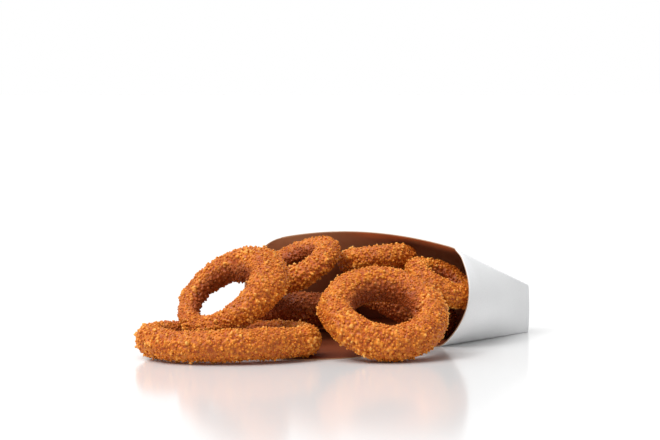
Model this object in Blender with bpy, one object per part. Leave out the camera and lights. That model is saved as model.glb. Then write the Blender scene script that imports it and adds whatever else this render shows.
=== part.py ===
"""Onion rings side: a paperboard scoop carton lying on its tall back panel, with
breaded onion rings spilling out of its mouth.  Metres, +Z up, origin at the bottom
centre of the whole object's box."""
import math
import random
from dataclasses import dataclass

import bmesh
import bpy
from mathutils import Matrix, Vector

MM = 0.001

# Carton: a scoop of thin board.  Its panels taper from a wide mouth to a narrow base.
BOARD = 0.45 * MM              # board thickness
CARTON_TURN = math.radians(40) # the carton's axis, turned from +Y towards +X
MOUTH = Vector((15.2, 97.8, 0)) * MM   # middle of the mouth, on the floor
FRONT_LENGTH = 61 * MM         # short front panel, from its edge to the base fold
TONGUE = 96 * MM               # how far the tall back panel runs out past the mouth
TONGUE_ROUND = 3.4             # squareness of the tongue's rounded end
MOUTH_HALF = 54 * MM           # half width of the flat back panel at the mouth
MOUTH_TOP_HALF = 55 * MM       # half width of the front panel at the mouth
MOUTH_HEIGHT = 44.2 * MM       # height of the mouth at its upper corners
MOUTH_BOW = 5.4 * MM           # how far the front panel arches up between them
MOUTH_BULGE = 14 * MM        # how far the side panels belly out at the mouth
BASE_HALF = 52.5 * MM            # half width at the base fold
BASE_HEIGHT = 23 * MM          # height of the base fold
BASE_BULGE = 0.6 * MM          # and at the base fold
LIP_REACH = 12 * MM            # how far the side lips run out in front of the front panel
CREASE_SIDE = 0.07             # share of a side panel that eases into the front panel
CREASE_FRONT = 0.04            # share of the front panel that eases into each side panel
SIDE_STEPS = 14                # mesh steps up each side panel
PANEL_STEPS = 20               # mesh steps across the front and the back panel
LENGTH_STEPS = 12              # mesh steps from the rim to the base fold

# Rings.  All lie at least REST above the floor, so that they clear the board.
RING_STEPS = 30                # mesh steps round a ring
TUBE_STEPS = 11                # mesh steps round its tube
REST = 0.8                     # mm


@dataclass
class Ring:
    """One breaded ring.  Lengths are in mm and angles in degrees."""
    name: str
    centre: tuple              # middle of the ring
    radii: tuple               # of the tube's centre line, before the spin
    tube: tuple                # tube radius across the ring and along its normal
    turn: float = 0            # direction the face leans towards, from +X
    steep: float = 0           # how far the face's normal leans from +Z
    spin: float = 0            # turn of the oval in its own plane
    swell: float = 0           # how much fatter the fat side is than the mean
    fat_side: float = 0        # where on the ring the fat side is
    rest: float = REST         # lowest height of the crust


RINGS = [
    Ring("ring_left", (-45.8, 16.5, 8.0), (34.6, 24.4), (7.2, 7.1), spin=5,
         swell=0.05, fat_side=-115),
    Ring("ring_leaning", (-46.4, 27.0, 26.6), (20.4, 19.6), (7.3, 7.0), turn=-132, steep=39,
         swell=0.28, fat_side=140),
    Ring("ring_middle", (-17.6, 75.3, 35.3), (16.4, 16.4), (7.4, 5.8), turn=-150, steep=27),
    Ring("ring_front", (22.2, 17.0, 19.6), (21.6, 20.8), (8.5, 8.4), turn=-80, steep=31, rest=0.2),
    Ring("ring_top", (20.8, 87.2, 37.9), (12.6, 12.4), (6.5, 6.2), turn=140, steep=7),
    Ring("ring_right", (50.2, 63.0, 28.6), (12.8, 12.2), (6.4, 5.8), turn=-27, steep=28),
    Ring("ring_bottom", (34.0, 87.2, 15.8), (18.6, 18.0), (8.1, 8.0), turn=4, steep=23),
    Ring("ring_back", (-20.0, 98.4, 12.3), (18.4, 18.0), (8.0, 7.9), turn=90, steep=12),
]


def clear_scene():
    for old in list(bpy.data.objects):
        bpy.data.objects.remove(old)


def make_material(name, colour, roughness):
    """A plain Principled material in the sub-part's own colour."""
    material = bpy.data.materials.new(name)
    material.use_nodes = True
    shader = material.node_tree.nodes["Principled BSDF"]
    shader.inputs["Base Color"].default_value = (*colour, 1)
    shader.inputs["Roughness"].default_value = roughness
    shader.inputs["Metallic"].default_value = 0
    return material


def add_object(name, bm, material):
    """Turn a bmesh into a named object of the model."""
    mesh = bpy.data.meshes.new(name)
    bm.to_mesh(mesh)
    bm.free()
    mesh.materials.append(material)
    mesh.shade_smooth()
    mesh.set_sharp_from_angle(angle=math.radians(40))
    body = bpy.data.objects.new(name, mesh)
    bpy.context.scene.collection.objects.link(body)
    return body


def ease(value):
    """0 to 1 with a soft start and end."""
    value = min(max(value, 0), 1)
    return value * value * (3 - 2 * value)


def mix(first, second, share):
    return first + (second - first) * share


# ---------------------------------------------------------------- carton

def panel_point(place, along):
    """A point on the carton's cross-section: place runs 0..4 as back panel, right side,
    front panel and left side; along is 0 at the mouth and 1 at the base fold.
    Returns the offset across and the height."""
    half = mix(MOUTH_HALF, BASE_HALF, along)
    top_half = mix(MOUTH_TOP_HALF, BASE_HALF, along)
    height = mix(MOUTH_HEIGHT, BASE_HEIGHT, along)
    bow = MOUTH_BOW * (1 - ease(along))
    bulge = mix(MOUTH_BULGE, BASE_BULGE, ease(along))
    panel = int(place)
    share = place - panel
    if panel == 0:
        return Vector((mix(-half, half, share), 0))
    if panel == 2:
        arch = bow * (1 - (2 * share - 1) ** 2)
        return Vector((mix(top_half, -top_half, share), height + arch))
    rise = share if panel == 1 else 1 - share
    across = mix(half, top_half, rise) + bulge * math.sin(math.pi * rise) ** 0.75
    if panel == 3:
        across = -across
    return Vector((across, height * rise))


def section_point(place, along):
    """The same point with the front panel's two side creases eased to a soft curve,
    which is wide at the mouth and dies out towards the base fold."""
    soft = 1 - 0.8 * ease(along)
    for crease, before, after in ((2, CREASE_SIDE, CREASE_FRONT), (3, CREASE_FRONT, CREASE_SIDE)):
        first = crease - before * soft
        last = crease + after * soft
        if first < place < last:
            share = (place - first) / (last - first)
            start = panel_point(first, along)
            corner = panel_point(crease, along)
            end = panel_point(last, along)
            return mix(mix(start, corner, share), mix(corner, end, share), share)
    return panel_point(place, along)


def rim_reach(place):
    """How far the rim stands out in front of the front panel's edge."""
    panel = int(place)
    share = place - panel
    if panel == 2:
        return 0
    if panel == 0:
        side = abs(2 * share - 1)
        return mix(LIP_REACH, TONGUE, (1 - side ** TONGUE_ROUND) ** (1 / TONGUE_ROUND))
    rise = share if panel == 1 else 1 - share
    return LIP_REACH * math.cos(rise * math.pi / 2) ** 0.6


def section_places():
    """The steps round the section.  On the wide panels they follow a half circle, so
    that they crowd together at the creases and where the tongue's edge turns fastest."""
    wide = [0.5 - 0.5 * math.cos(math.pi * i / PANEL_STEPS) for i in range(PANEL_STEPS)]
    side = [i / SIDE_STEPS for i in range(SIDE_STEPS)]
    return [panel + share for panel in range(4) for share in (wide, side)[panel % 2]]


def carton_place(across, forward, height):
    """From the carton's own directions to the model's."""
    right = Vector((math.cos(CARTON_TURN), -math.sin(CARTON_TURN), 0))
    inward = Vector((math.sin(CARTON_TURN), math.cos(CARTON_TURN), 0))
    return MOUTH + right * across - inward * forward + Vector((0, 0, height))


def build_carton(material):
    """One sheet lofted from the rim to the base fold, closed by the base panel, and
    given the board's thickness inwards."""
    bm = bmesh.new()
    loops = []
    places = section_places()
    for step in range(LENGTH_STEPS + 1):
        loop = []
        for place in places:
            reach = rim_reach(place)
            forward = mix(reach, -FRONT_LENGTH, step / LENGTH_STEPS)
            along = max(0, -forward / FRONT_LENGTH)
            across, height = section_point(place, along)
            loop.append(bm.verts.new(carton_place(across, forward, height)))
        loops.append(loop)
    count = len(places)
    for near, far in zip(loops, loops[1:]):
        for i in range(count):
            j = (i + 1) % count
            bm.faces.new((near[i], near[j], far[j], far[i]))
    bm.faces.new(loops[-1])
    bmesh.ops.recalc_face_normals(bm, faces=bm.faces)
    bmesh.ops.solidify(bm, geom=bm.faces[:], thickness=BOARD)
    bmesh.ops.triangulate(bm, faces=bm.faces[:])
    return add_object("carton", bm, material)


# ---------------------------------------------------------------- rings

def wander(rng, waves):
    """A smooth closed wave of the angle round the ring, about -1 to 1."""
    parts = [(n, rng.uniform(0.5, 1) / n ** 0.6, rng.uniform(0, math.tau)) for n in waves]
    total = sum(size for _, size, _ in parts)

    def value(angle):
        return sum(size * math.sin(n * angle + phase) for n, size, phase in parts) / total
    return value


def build_ring(ring, seed, material):
    """A breaded ring: a closed tube whose path, width and height all wander a little."""
    rng = random.Random(seed)
    path = wander(rng, (2, 3, 4))
    sway = wander(rng, (2, 3))
    width = wander(rng, (1, 2, 3, 5))
    depth = wander(rng, (2, 3, 4))
    bm = bmesh.new()
    loops = []
    for i in range(RING_STEPS):
        angle = math.tau * i / RING_STEPS
        outward = Vector((math.cos(angle), math.sin(angle), 0))
        middle = Vector((ring.radii[0] * outward.x, ring.radii[1] * outward.y, 0))
        middle *= 1 + 0.03 * path(angle)
        middle.z = 0.6 * sway(angle)
        fat = 1 + ring.swell * math.cos(angle - math.radians(ring.fat_side))
        across = ring.tube[0] * fat * (1 + 0.08 * width(angle))
        along = ring.tube[1] * fat * (1 + 0.06 * depth(angle))
        loop = []
        for j in range(TUBE_STEPS):
            round_tube = math.tau * j / TUBE_STEPS
            offset = outward * (across * math.cos(round_tube))
            offset.z = along * math.sin(round_tube)
            loop.append(bm.verts.new((middle + offset) * MM))
        loops.append(loop)
    for i in range(RING_STEPS):
        near = loops[i]
        far = loops[(i + 1) % RING_STEPS]
        for j in range(TUBE_STEPS):
            k = (j + 1) % TUBE_STEPS
            bm.faces.new((near[j], far[j], far[k], near[k]))
    lean = Matrix.Rotation(math.radians(ring.turn), 4, "Z")
    lean = lean @ Matrix.Rotation(math.radians(ring.steep), 4, "Y")
    lean = lean @ Matrix.Rotation(math.radians(ring.spin), 4, "Z")
    placed = Matrix.Translation(Vector(ring.centre) * MM) @ lean
    bmesh.ops.transform(bm, matrix=placed, verts=bm.verts[:])
    for vert in bm.verts:
        vert.co.z = max(vert.co.z, ring.rest * MM)
    bmesh.ops.recalc_face_normals(bm, faces=bm.faces)
    bmesh.ops.triangulate(bm, faces=bm.faces[:])
    return add_object(ring.name, bm, material)


def centre_on_floor(parts):
    """Parent every piece to an empty that brings the bottom centre of their common box
    to the origin."""
    corners = [vert.co for part in parts for vert in part.data.vertices]
    low = Vector(min(corner[axis] for corner in corners) for axis in range(3))
    high = Vector(max(corner[axis] for corner in corners) for axis in range(3))
    middle = (low + high) / 2
    stand = bpy.data.objects.new("stand", None)
    bpy.context.scene.collection.objects.link(stand)
    stand.location = (-middle.x, -middle.y, -low.z)
    for part in parts:
        part.parent = stand
    bpy.context.view_layer.update()


def main():
    clear_scene()
    parts = [build_carton(make_material("board", (0.86, 0.87, 0.88), 0.55))]
    for seed, ring in enumerate(RINGS, start=11):
        crust = make_material(ring.name + "_crust", (0.56, 0.19, 0.03), 0.7)
        parts.append(build_ring(ring, seed, crust))
    centre_on_floor(parts)


main()
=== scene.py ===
"""Onion rings side: breaded onion rings spilling out of a paperboard scoop carton that
lies on its tall back panel.  Metres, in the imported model's own frame."""
import math
import random

import bmesh
import bpy
import numpy as np
from mathutils import Euler, Matrix, Vector, noise
from mathutils.bvhtree import BVHTree
from mathutils.kdtree import KDTree


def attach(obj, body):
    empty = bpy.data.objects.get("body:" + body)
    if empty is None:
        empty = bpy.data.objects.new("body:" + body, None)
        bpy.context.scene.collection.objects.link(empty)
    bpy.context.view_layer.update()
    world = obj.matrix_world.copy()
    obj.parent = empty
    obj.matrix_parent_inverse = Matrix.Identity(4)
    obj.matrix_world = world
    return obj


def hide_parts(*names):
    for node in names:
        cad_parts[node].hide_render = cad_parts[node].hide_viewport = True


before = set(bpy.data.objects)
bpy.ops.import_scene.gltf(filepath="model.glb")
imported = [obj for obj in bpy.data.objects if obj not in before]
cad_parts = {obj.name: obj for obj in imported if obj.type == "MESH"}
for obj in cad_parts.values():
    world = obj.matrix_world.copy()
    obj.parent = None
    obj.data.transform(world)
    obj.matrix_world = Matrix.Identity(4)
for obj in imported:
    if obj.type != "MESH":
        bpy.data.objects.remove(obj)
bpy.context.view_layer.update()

# ------------------------------------------------------------------ carton
# A scoop folded from one blank of folding boxboard, clay-coated white outside and brown
# inside.  It lies on its tall back panel, whose rounded tongue runs out under the rings,
# and its side panels belly out between a wide mouth and a flat base.

MM = 0.001
BOARD = 0.45 * MM               # thickness of the board
CARTON_TURN = math.radians(40)  # the carton's axis, turned from +Y towards +X
MOUTH = Vector((11.12, 16.24, 0)) * MM   # middle of the mouth, on the floor
FRONT_LENGTH = 61 * MM          # short front panel, from its edge to the base fold
TONGUE = 96 * MM                # how far the tall back panel runs out past the mouth
TONGUE_ROUND = 3.4              # squareness of the tongue's rounded end
MOUTH_HALF = 54 * MM            # half width of the back panel at the mouth
MOUTH_TOP_HALF = 55 * MM        # and of the front panel
MOUTH_HEIGHT = 44.2 * MM        # height of the mouth at its upper corners
MOUTH_BOW = 5.4 * MM            # how far the front panel arches up between them
MOUTH_BULGE = 14 * MM           # how far the side panels belly out at the mouth
BASE_HALF = 52.5 * MM           # half width at the base fold
BASE_HEIGHT = 23 * MM           # height of the base fold
BASE_BULGE = 0.6 * MM
LIP_REACH = 12 * MM             # how far the side lips run out in front of the front panel
CREASE_SIDE = 0.07              # share of a side panel that eases into the front panel
CREASE_FRONT = 0.04             # share of the front panel that eases into a side panel
FOLD_WIDE = 0.005               # share of the back panel that eases into a side panel
FOLD_SIDE = 0.02                # share of a side panel that eases into the back panel
FOLD_FADE = 0.8                 # share of the upper folds' softness lost by the base fold
SIDE_FULLNESS = 0.75            # under 1 fills a side panel's bulge out towards its folds
LIP_FULLNESS = 0.6              # the same for the curve of a side lip
SHARP_FOLD = math.radians(35)   # folds steeper than this are shaded as creases
PANEL_STEPS = 44                # mesh steps across each of the four panels
LENGTH_STEPS = 60               # mesh steps from the rim to the base fold
WELD = 0.002 * MM
PANEL_SLACK = 0.001             # keeps a point on a fold with the panel after it
LAST_PLACE = 3.999999           # just short of the seam, still on the left side
RIGHT = Vector((math.cos(CARTON_TURN), -math.sin(CARTON_TURN), 0))
INWARD = Vector((math.sin(CARTON_TURN), math.cos(CARTON_TURN), 0))


def ease(value):
    """0 to 1 with a soft start and end."""
    value = min(max(value, 0), 1)
    return value * value * (3 - 2 * value)


def mix(first, second, share):
    """The value that lies a share of the way from the first to the second."""
    return first + (second - first) * share


def panel_point(place, along):
    """Offset across and height of a point on the carton's section.  Place runs 0..4 as
    back panel, right side, front panel and left side; along is 0 at the mouth and 1 at
    the base fold."""
    half = mix(MOUTH_HALF, BASE_HALF, along)
    top_half = mix(MOUTH_TOP_HALF, BASE_HALF, along)
    height = mix(MOUTH_HEIGHT, BASE_HEIGHT, along)
    bulge = mix(MOUTH_BULGE, BASE_BULGE, ease(along))
    panel = math.floor(place) % 4
    share = place - math.floor(place)
    if panel == 0:
        return Vector((mix(-half, half, share), 0))
    if panel == 2:
        arch = MOUTH_BOW * (1 - ease(along)) * (1 - (2 * share - 1) ** 2)
        return Vector((mix(top_half, -top_half, share), height + arch))
    rise = share if panel == 1 else 1 - share
    across = mix(half, top_half, rise) + bulge * math.sin(math.pi * rise) ** SIDE_FULLNESS
    return Vector((across if panel == 1 else -across, height * rise))


def section_point(place, along):
    """The same point with all four folds eased.  The two upper ones are wide, soft curves
    at the mouth that die out towards the base fold."""
    soft = 1 - FOLD_FADE * ease(along)
    folds = (
        (0, FOLD_SIDE, FOLD_WIDE),
        (1, FOLD_WIDE, FOLD_SIDE),
        (2, CREASE_SIDE * soft, CREASE_FRONT * soft),
        (3, CREASE_FRONT * soft, CREASE_SIDE * soft),
        (4, FOLD_SIDE, FOLD_WIDE),
    )
    for fold, before, after in folds:
        first = fold - before
        last = fold + after
        if first < place < last:
            share = (place - first) / (last - first)
            start = panel_point(first, along)
            corner = panel_point(fold, along)
            end = panel_point(last, along)
            return mix(mix(start, corner, share), mix(corner, end, share), share)
    return panel_point(place, along)


def rim_reach(place):
    """How far the rim stands out in front of the front panel's edge."""
    panel = math.floor(place) % 4
    share = place - math.floor(place)
    if panel == 2:
        return 0
    if panel == 0:
        side = abs(2 * share - 1)
        return mix(LIP_REACH, TONGUE, (1 - side ** TONGUE_ROUND) ** (1 / TONGUE_ROUND))
    rise = share if panel == 1 else 1 - share
    return LIP_REACH * math.cos(rise * math.pi / 2) ** LIP_FULLNESS


def carton_place(across, forward, height):
    """From the carton's own directions to the model's."""
    return MOUTH + RIGHT * across - INWARD * forward + Vector((0, 0, height))


def add_piece(name, bm, materials):
    """Turn a bmesh into a named, smooth-shaded piece that rides with the object."""
    mesh = bpy.data.meshes.new(name)
    bm.to_mesh(mesh)
    bm.free()
    for material in materials:
        mesh.materials.append(material)
    mesh.shade_smooth()
    piece = bpy.data.objects.new(name, mesh)
    bpy.context.scene.collection.objects.link(piece)
    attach(piece, "root")
    return piece


def add_node(tree, kind, **settings):
    """A shader node, its own settings given by name and its sockets by name too."""
    node = tree.nodes.new(kind)
    for key, value in settings.items():
        if hasattr(node, key):
            setattr(node, key, value)
        else:
            node.inputs[key].default_value = value
    return node


def new_finish(name, roughness):
    """A Principled material; returns it, its node tree and its shader."""
    material = bpy.data.materials.new(name)
    material.use_nodes = True
    tree = material.node_tree
    shader = tree.nodes["Principled BSDF"]
    shader.inputs["Roughness"].default_value = roughness
    return material, tree, shader


def speckle(tree, scale, detail=2.0, rough=0.5):
    """Noise on the object's own coordinates; scale counts lumps to the metre."""
    place = add_node(tree, "ShaderNodeTexCoord")
    spots = add_node(tree, "ShaderNodeTexNoise", Scale=scale, Detail=detail, Roughness=rough)
    tree.links.new(place.outputs["Object"], spots.inputs["Vector"])
    return spots.outputs["Fac"]


def spread(tree, value, low, high, to_low=0.0, to_high=1.0):
    """Stretch a value from low..high to to_low..to_high, and hold it there."""
    node = add_node(tree, "ShaderNodeMapRange")
    ends = {"From Min": low, "From Max": high, "To Min": to_low, "To Max": to_high}
    for socket, number in ends.items():
        node.inputs[socket].default_value = number
    tree.links.new(value, node.inputs["Value"])
    return node.outputs["Result"]


def blend_colours(tree, share, first, second, way="MIX"):
    """Mix two colours, each a plain colour or another node's socket."""
    node = add_node(tree, "ShaderNodeMix", data_type="RGBA", blend_type=way)
    if isinstance(share, (int, float)):
        node.inputs[0].default_value = share
    else:
        tree.links.new(share, node.inputs[0])
    for socket, colour in ((node.inputs[6], first), (node.inputs[7], second)):
        if isinstance(colour, tuple):
            socket.default_value = (*colour, 1)
        else:
            tree.links.new(colour, socket)
    return node.outputs[2]


def raise_bump(tree, shader, value, height, strength):
    """Let a pattern raise and sink the shaded surface by up to a height."""
    bump = add_node(tree, "ShaderNodeBump", Strength=strength, Distance=height)
    tree.links.new(value, bump.inputs["Height"])
    tree.links.new(bump.outputs["Normal"], shader.inputs["Normal"])


LOW_BOARD_SHADE = (0.22, 0.048, 0.014)    # painted shade: darker brown for the board low down, where it lies in shade
SHADE_FULL_BELOW = 4 * MM               # painted shade at its full up to this height
SHADE_GONE_ABOVE = 35 * MM              # and gone from here up


def board_finish(name, light, dark, roughness, bump, low_shade=None):
    """Board: a soft cloud of two close colours, fine fibres and a faint dimpled surface.
    Painted shade darkens the lowest part of it, towards the floor."""
    material, tree, shader = new_finish(name, roughness)
    cloud = spread(tree, speckle(tree, 60, 3), 0.35, 0.65)
    fibre = spread(tree, speckle(tree, 1400, 4, 0.7), 0.3, 0.7, 0.94, 1.0)
    colour = blend_colours(tree, cloud, dark, light)
    colour = blend_colours(tree, 1.0, colour, fibre, "MULTIPLY")
    # Painted shade: the board gets darker towards the floor, in the carton's inside and on the
    # tongue under the rings.
    if low_shade:
        place = add_node(tree, "ShaderNodeTexCoord")
        height = add_node(tree, "ShaderNodeSeparateXYZ")
        tree.links.new(place.outputs["Object"], height.inputs["Vector"])
        unshaded_share = spread(tree, height.outputs["Z"], SHADE_FULL_BELOW, SHADE_GONE_ABOVE)
        colour = blend_colours(tree, unshaded_share, low_shade, colour)
    tree.links.new(colour, shader.inputs["Base Color"])
    raise_bump(tree, shader, speckle(tree, 900, 3, 0.6), 0.05 * MM, bump)
    return material


white_face = board_finish(
    "board_white_face", (0.90, 0.905, 0.91), (0.88, 0.885, 0.89), 0.42, 0.25
)
# The brown inside face carries painted shade towards the floor.
brown_face = board_finish(
    "board_brown_face", (0.84, 0.42, 0.21), (0.80, 0.385, 0.19), 0.6, 0.35, LOW_BOARD_SHADE
)
brown_face.node_tree.nodes["Principled BSDF"].inputs["Specular IOR Level"].default_value = 0.2
cut_edge = board_finish("board_cut_edge", (0.50, 0.30, 0.17), (0.40, 0.22, 0.12), 0.8, 0.3)

bm = bmesh.new()
bmesh.ops.create_grid(bm, x_segments=4 * PANEL_STEPS, y_segments=LENGTH_STEPS, size=0.5)
for vert in bm.verts:
    round_share = 4 * (vert.co.x + 0.5)
    panel = min(int(round_share + PANEL_SLACK), 3)
    place = panel + 0.5 - 0.5 * math.cos(math.pi * (round_share - panel))
    forward = mix(rim_reach(min(place, LAST_PLACE)), -FRONT_LENGTH, vert.co.y + 0.5)
    along = max(0, -forward / FRONT_LENGTH)
    across, height = section_point(place, along)
    vert.co = carton_place(across, forward, height)
bmesh.ops.remove_doubles(bm, verts=bm.verts, dist=WELD)
base_line = (MOUTH + INWARD * FRONT_LENGTH).dot(INWARD)
base_edges = [
    edge for edge in bm.edges
    if edge.is_boundary and all(abs(v.co.dot(INWARD) - base_line) < WELD for v in edge.verts)
]
bmesh.ops.edgeloop_fill(bm, edges=base_edges)
bmesh.ops.recalc_face_normals(bm, faces=bm.faces)
carton = add_piece("carton_shell", bm, [white_face, brown_face, cut_edge])
wall = carton.modifiers.new("board", "SOLIDIFY")
wall.thickness = BOARD
wall.offset = -1
wall.use_even_offset = True
wall.material_offset = 1
wall.material_offset_rim = 2
carton.data.set_sharp_from_angle(angle=SHARP_FOLD)
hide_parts("carton")


def evaluated_mesh(piece):
    """The piece's mesh with its modifiers applied."""
    graph = bpy.context.evaluated_depsgraph_get()
    return bpy.data.meshes.new_from_object(piece.evaluated_get(graph), depsgraph=graph)


carton_surface = BVHTree.FromObject(carton, bpy.context.evaluated_depsgraph_get())

# ------------------------------------------------------------------ rings
# Thick slices of onion in batter, rolled in coarse dry crumbs and deep-fried golden: a
# lumpy closed skin, packed with fused crumbs, and loose crumbs stuck on top of those.

FUSE = 0.42 * MM    # grain at which the fried crumbs run together
SKIN_BACK = 0.95 * MM           # how far the batter skin lies under the crumbs' outer line
LUMP = 0.75 * MM                # how far the batter itself rises and falls
BROAD_LUMPS = 110               # its broad and close swells, counted to the metre
CLOSE_LUMPS = 260
PATCHES = 75                    # patches of coarser and finer crumbs to the metre
CORE_EVEN = 0.72                # spacing of fused crumbs, as a share of their two radii
LOOSE_EVEN = 1.12               # and of the loose ones
CORE_TRIES = 6                  # seats tried on each square that is one crumb size wide
LOOSE_TRIES = 2.5
RING_PARTS = 36                 # stretches of a ring that its middle line is averaged over
HOLE_SHADE_START = 0.45               # how squarely a point faces the hole before painted shade starts
HOLE_SHADE_SPAN = 0.5
HOLE_SHADE_SHARE = 0.9                # how far the darkest of the painted shade in the hole takes its colour
MAP_EDGE = 0.005                # margin and width of the map within its square
MAP_WIDE = 0.975
LOW_CRUST = 1.2 * MM            # crust below this is held off what it lies on
NEAR_BOARD = 0.6 * MM           # nearer to the board than this, it lies on the board
OVER_BOARD = 0.5 * MM           # lowest crust where it lies on the board
OVER_FLOOR = 0.05 * MM          # and where it lies on the floor


def crumb_shapes(rng, count):
    """A few chipped crumbs of radius 1, which are turned and stretched to make them all."""
    shapes = []
    for number in range(count):
        bm = bmesh.new()
        bmesh.ops.create_icosphere(bm, subdivisions=1, radius=1.0)
        for vert in bm.verts:
            vert.co *= rng.uniform(0.72, 1.22)
        shape = bpy.data.meshes.new(f"crumb_{number}")
        bm.to_mesh(shape)
        bm.free()
        shapes.append(shape)
    return shapes


crumb_set = crumb_shapes(random.Random(5), 8)


def batter_skin(name, seed):
    """The node's solid as a smooth, lumpy skin, a little inside the crumbs' outer line."""
    bm = bmesh.new()
    bm.from_mesh(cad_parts[name].data)
    bmesh.ops.remove_doubles(bm, verts=bm.verts, dist=WELD)
    bmesh.ops.join_triangles(
        bm, faces=bm.faces, angle_face_threshold=math.pi, angle_shape_threshold=math.pi
    )
    bmesh.ops.recalc_face_normals(bm, faces=bm.faces)
    rough = bpy.data.meshes.new(name + "_batter")
    bm.to_mesh(rough)
    bm.free()
    solid = bpy.data.objects.new(name + "_batter", rough)
    bpy.context.scene.collection.objects.link(solid)
    smooth = solid.modifiers.new("smooth", "SUBSURF")
    smooth.levels = 2
    smooth.render_levels = 2
    skin = evaluated_mesh(solid)
    bpy.data.objects.remove(solid)
    shift = Vector((seed, 0, 0))
    moved = []
    for vert in skin.vertices:
        broad = noise.noise(vert.co * BROAD_LUMPS + shift)
        close = noise.noise(vert.co * CLOSE_LUMPS + shift)
        moved.append(vert.co + vert.normal * (LUMP * (0.9 * broad + 0.5 * close) - SKIN_BACK))
    for vert, place in zip(skin.vertices, moved):
        vert.co = place
    skin.update()
    return skin


def crumb_seats(skin, rng, size, even, tries):
    """Where crumbs sit on the skin: place, normal and radius, no two crowding each other.
    Crumbs are coarse in some patches and fine in others."""
    skin.calc_loop_triangles()
    places = np.empty(len(skin.vertices) * 3)
    skin.vertices.foreach_get("co", places)
    places = places.reshape(-1, 3)
    corners = np.empty(len(skin.loop_triangles) * 3, dtype=np.int32)
    skin.loop_triangles.foreach_get("vertices", corners)
    corners = places[corners.reshape(-1, 3)]
    across = np.cross(corners[:, 1] - corners[:, 0], corners[:, 2] - corners[:, 0])
    doubled = np.linalg.norm(across, axis=1)
    draw = np.random.default_rng(rng.randrange(1 << 30))
    pick = draw.choice(len(corners), tries, p=doubled / doubled.sum())
    first = draw.random((tries, 1)) ** 0.5
    second = draw.random((tries, 1))
    points = (
        corners[pick, 0] * (1 - first)
        + corners[pick, 1] * first * (1 - second)
        + corners[pick, 2] * first * second
    )
    normals = across[pick] / doubled[pick, None]
    cell = 2.6 * size
    grid = {}
    seats = []
    for point, normal in zip(points, normals):
        patch = noise.noise(Vector(point) * PATCHES)
        radius = size * (1 + 0.45 * patch) * rng.triangular(0.62, 1.35, 0.85)
        key = tuple(int(c) for c in point // cell)
        near = (
            seat
            for i in (-1, 0, 1) for j in (-1, 0, 1) for k in (-1, 0, 1)
            for seat in grid.get((key[0] + i, key[1] + j, key[2] + k), ())
        )
        spot = Vector(point)
        if all((spot - other[0]).length > even * (radius + other[2]) for other in near):
            seat = (spot, Vector(normal), radius)
            grid.setdefault(key, []).append(seat)
            seats.append(seat)
    return seats


def place_crumbs(bm, seats, rng, sink_low, sink_high):
    """Set a turned, stretched crumb on each seat, sunk by a share of its radius."""
    for spot, normal, radius in seats:
        crumb = rng.choice(crumb_set).copy()
        turn = Euler([rng.uniform(0, math.tau) for _ in range(3)]).to_matrix().to_4x4()
        stretch = Matrix.Diagonal([radius * rng.uniform(0.75, 1.3) for _ in range(3)] + [1])
        lift = normal * (-radius * rng.uniform(sink_low, sink_high))
        crumb.transform(Matrix.Translation(spot + lift) @ turn @ stretch)
        bm.from_mesh(crumb)
        bpy.data.meshes.remove(crumb)


def fuse(name, bm):
    """Run overlapping closed shapes together into one closed skin."""
    mesh = bpy.data.meshes.new(name)
    bm.to_mesh(mesh)
    bm.free()
    solid = bpy.data.objects.new(name, mesh)
    bpy.context.scene.collection.objects.link(solid)
    remesh = solid.modifiers.new("fuse", "REMESH")
    remesh.mode = "VOXEL"
    remesh.voxel_size = FUSE
    fused = evaluated_mesh(solid)
    bpy.data.objects.remove(solid)
    return fused


def point_values(mesh, name, values):
    """Keep one number for each point, for the finish to read."""
    layer = mesh.attributes.new(name, "FLOAT", "POINT")
    layer.data.foreach_set("value", np.asarray(values, dtype=np.float32))


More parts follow.
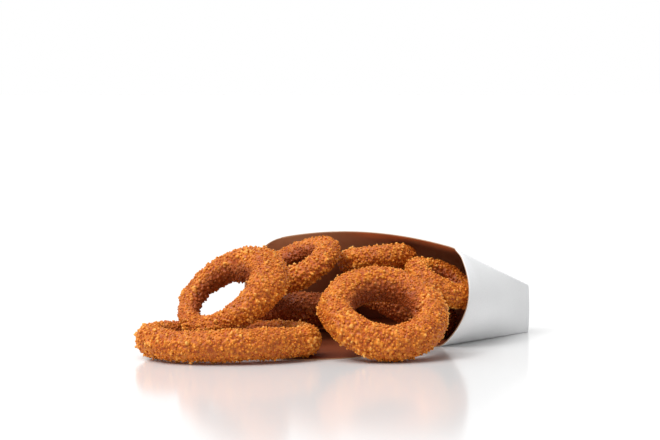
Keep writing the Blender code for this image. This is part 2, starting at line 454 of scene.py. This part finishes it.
def ring_map(mesh, skin):
    """Lay a UV map round the ring and round its tube, and mark how far each point faces
    into the ring's hole, as the mask for painted shade there."""
    def points(source):
        """A mesh's points as rows of an array."""
        flat = np.empty(len(source.vertices) * 3)
        source.vertices.foreach_get("co", flat)
        return flat.reshape(-1, 3)
    skin_points = points(skin)
    middle = skin_points.mean(axis=0)
    axes = np.linalg.svd(skin_points - middle, full_matrices=False)[2]
    local = (skin_points - middle) @ axes.T
    angle = np.arctan2(local[:, 1], local[:, 0])
    bins = np.linspace(-math.pi, math.pi, RING_PARTS + 1)
    which = np.clip(np.digitize(angle, bins) - 1, 0, RING_PARTS - 1)
    reach = np.hypot(local[:, 0], local[:, 1])
    mean_reach = np.array([reach[which == i].mean() for i in range(RING_PARTS)])
    mean_rise = np.array([local[which == i, 2].mean() for i in range(RING_PARTS)])
    centres = (bins[:-1] + bins[1:]) / 2
    local = (points(mesh) - middle) @ axes.T
    angle = np.arctan2(local[:, 1], local[:, 0])
    reach = np.hypot(local[:, 0], local[:, 1])
    out = reach - np.interp(angle, centres, mean_reach, period=math.tau)
    up = local[:, 2] - np.interp(angle, centres, mean_rise, period=math.tau)
    flat_map = np.stack([angle, np.arctan2(up, out)], axis=1) / math.tau + 0.5
    loops = np.empty(len(mesh.loops), dtype=np.int32)
    mesh.loops.foreach_get("vertex_index", loops)
    starts = np.empty(len(mesh.polygons), dtype=np.int32)
    mesh.polygons.foreach_get("loop_start", starts)
    totals = np.empty(len(mesh.polygons), dtype=np.int32)
    mesh.polygons.foreach_get("loop_total", totals)
    corner_map = flat_map[loops]
    wide = np.repeat(np.maximum.reduceat(corner_map, starts), totals, axis=0)
    corner_map = np.where(wide - corner_map > 0.5, corner_map + 1, corner_map)
    corner_map = MAP_EDGE + corner_map * MAP_WIDE
    layer = mesh.uv_layers.new(name="OFBake")
    layer.data.foreach_set("uv", corner_map.astype(np.float32).ravel())
    tube = np.hypot(out, up)
    # Painted shade: points that face into the hole get a darker colour in the finish.
    facing = np.clip((-out / np.maximum(tube, WELD) - HOLE_SHADE_START) / HOLE_SHADE_SPAN, 0, 1)
    point_values(mesh, "hole_shade", facing * facing * (3 - 2 * facing) * HOLE_SHADE_SHARE)


def rest_on(co):
    """Hold a point of the crust off the board or the floor."""
    if co.z > LOW_CRUST:
        return co
    _, _, _, away = carton_surface.find_nearest(Vector((co.x, co.y, 0)))
    lowest = OVER_BOARD if away < NEAR_BOARD else OVER_FLOOR
    return Vector((co.x, co.y, max(co.z, lowest)))


CRUMB_HIGH = 1.9 * MM           # how far above the skin a crumb's top is, at the most


def crust_finish(name, crevice_shade, golden, tip_highlight, browned, hole_shade_colour):
    """Fried crumb: deep and reddish between the crumbs as painted shade, golden on them and
    pale on their tops as a painted highlight, with browned patches, a little oily shine and a
    fine-grained surface."""
    material, tree, shader = new_finish(name, 0.5)
    height = add_node(tree, "ShaderNodeAttribute", attribute_name="height").outputs["Fac"]
    tone = add_node(tree, "ShaderNodeAttribute", attribute_name="tone").outputs["Fac"]
    # Painted shade and painted highlight: darker between the crumbs and paler on their tops,
    # by height over the skin.
    colour = blend_colours(tree, spread(tree, height, 0.05, 0.5), crevice_shade, golden)
    colour = blend_colours(tree, spread(tree, height, 0.45, 1.0), colour, tip_highlight)
    patch = spread(tree, speckle(tree, 70, 3, 0.6), 0.5, 0.72, 0.0, 0.6)
    colour = blend_colours(tree, patch, colour, browned)
    # Painted shade inside the ring's hole.
    hole_shade_mask = add_node(tree, "ShaderNodeAttribute", attribute_name="hole_shade").outputs["Fac"]
    colour = blend_colours(tree, hole_shade_mask, colour, hole_shade_colour)
    lighter = spread(tree, tone, 0.0, 1.0, 0.84, 1.14)
    colour = blend_colours(tree, 1.0, colour, lighter, "MULTIPLY")
    grain = spread(tree, speckle(tree, 2600, 3, 0.7), 0.3, 0.7, 0.88, 1.1)
    colour = blend_colours(tree, 1.0, colour, grain, "MULTIPLY")
    tree.links.new(colour, shader.inputs["Base Color"])
    shine = spread(tree, speckle(tree, 500, 2), 0.35, 0.65, 0.34, 0.62)
    tree.links.new(shine, shader.inputs["Roughness"])
    shader.inputs["Specular IOR Level"].default_value = 0.3
    shader.inputs["Subsurface Weight"].default_value = 0.1
    shader.inputs["Subsurface Radius"].default_value = (1.0, 0.35, 0.12)
    shader.inputs["Subsurface Scale"].default_value = 2 * MM
    raise_bump(tree, shader, speckle(tree, 2200, 3, 0.65), 0.12 * MM, 0.5)
    return material


# Colours in order: painted shade between crumbs, golden, painted highlight on tops, browned
# patches, painted shade in the hole.
golden_crust = crust_finish(
    "crust_golden", (0.42, 0.075, 0.005), (0.75, 0.24, 0.016), (0.93, 0.48, 0.11),
    (0.56, 0.14, 0.010), (0.30, 0.052, 0.005),
)
# Painted shade: a darker copy of the crust for the two rings that lie in shade inside the
# carton.
shaded_crust_copy = crust_finish(
    "crust_painted_shade", (0.26, 0.045, 0.005), (0.40, 0.10, 0.012), (0.52, 0.17, 0.03),
    (0.30, 0.06, 0.008), (0.22, 0.04, 0.005),
)


def bread_ring(name, seed, crust, size=0.92 * MM, loose=0.6 * MM):
    """Make a whole breaded ring round its CAD solid, and put it in that solid's place."""
    rng = random.Random(seed)
    skin = batter_skin(name, seed)
    area = sum(polygon.area for polygon in skin.polygons)
    tries = int(CORE_TRIES * area / size ** 2)
    seats = crumb_seats(skin, rng, size, CORE_EVEN, tries)
    bm = bmesh.new()
    bm.from_mesh(skin)
    place_crumbs(bm, seats, rng, -0.35, 0.35)
    crumbed = fuse(name + "_crumbed", bm)
    bm = bmesh.new()
    bm.from_mesh(crumbed)
    tries = int(LOOSE_TRIES * area / loose ** 2)
    small = crumb_seats(crumbed, rng, loose, LOOSE_EVEN, tries)
    place_crumbs(bm, small, rng, -0.35, 0.3)
    tones = KDTree(len(seats) + len(small))
    for index, seat in enumerate(seats + small):
        tones.insert(seat[0], index)
    tones.balance()
    tone_of = [rng.random() for _ in seats + small]
    for vert in bm.verts:
        vert.co = rest_on(vert.co)
    piece = add_piece(name + "_breaded", bm, [crust])
    mesh = piece.data
    depth = BVHTree.FromPolygons(
        [vert.co for vert in skin.vertices], [polygon.vertices[:] for polygon in skin.polygons]
    )
    heights = []
    tone = []
    for vert in mesh.vertices:
        spot, normal, _, away = depth.find_nearest(vert.co)
        heights.append(math.copysign(away, (vert.co - spot).dot(normal)) / CRUMB_HIGH)
        tone.append(tone_of[tones.find(vert.co)[1]])
    point_values(mesh, "height", heights)
    point_values(mesh, "tone", tone)
    ring_map(mesh, skin)
    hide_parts(name)


# The two rings hidden in the carton's shade take the darker painted-shade copy of the crust.
for seed, ring in enumerate(("ring_back", "ring_bottom"), start=21):
    bread_ring(ring, seed, shaded_crust_copy)
PILE = ("ring_right", "ring_top", "ring_middle", "ring_left", "ring_leaning", "ring_front")
for seed, ring in enumerate(PILE, start=23):
    bread_ring(ring, seed, golden_crust)

# ------------------------------------------------------------------ stage
# A plain pale table with a faint sheen, white soft light from above and the left, and a
# long-lens camera a little above the rings.

TABLE_REACH = 40.0              # far enough that its edge is never seen
AMBIENT = 0.5                   # what the white surroundings give, beside the lamps
CAMERA_PLACE = (-0.00538, -0.97387, 0.1175)
CAMERA_TILT = math.radians(86.4)
CAMERA_LENS = 113.6

bm = bmesh.new()
bmesh.ops.create_grid(bm, x_segments=1, y_segments=1, size=TABLE_REACH)
table_mesh = bpy.data.meshes.new("table")
bm.to_mesh(table_mesh)
bm.free()
table = bpy.data.objects.new("table", table_mesh)
bpy.context.scene.collection.objects.link(table)
table_finish, tree, shader = new_finish("table_white", 0.14)
shader.inputs["Base Color"].default_value = (0.83, 0.83, 0.83, 1)
shader.inputs["Specular IOR Level"].default_value = 0.4
table_mesh.materials.append(table_finish)

world = bpy.data.worlds.new("studio")
world.use_nodes = True
sky = world.node_tree.nodes["Background"]
sky.inputs["Color"].default_value = (1, 1, 1, 1)
rays = add_node(world.node_tree, "ShaderNodeLightPath")
dimmed = spread(world.node_tree, rays.outputs["Is Diffuse Ray"], 0, 1, 1.0, AMBIENT)
world.node_tree.links.new(dimmed, sky.inputs["Strength"])
bpy.context.scene.world = world


def soft_sun(name, toward, width, strength):
    """A wide white panel of light, far away in the direction given."""
    light = bpy.data.lights.new(name, "SUN")
    light.angle = math.radians(width)
    light.energy = strength
    lamp = bpy.data.objects.new(name, light)
    lamp.rotation_euler = Vector(toward).to_track_quat("Z", "Y").to_euler()
    bpy.context.scene.collection.objects.link(lamp)


soft_sun("lamp_above", (-0.4, -0.2, 1.0), 50, 2.35)
soft_sun("lamp_sparkle", (-0.7, -0.6, 0.9), 14, 0.8)

camera_data = bpy.data.cameras.new("camera")
camera_data.sensor_width = 36
camera_data.lens = CAMERA_LENS
camera_data.clip_start = 0.01
camera = bpy.data.objects.new("camera", camera_data)
camera.location = CAMERA_PLACE
camera.rotation_euler = (CAMERA_TILT, 0, 0)
bpy.context.scene.collection.objects.link(camera)
bpy.context.scene.camera = camera

scene = bpy.context.scene
scene.view_settings.view_transform = "Standard"
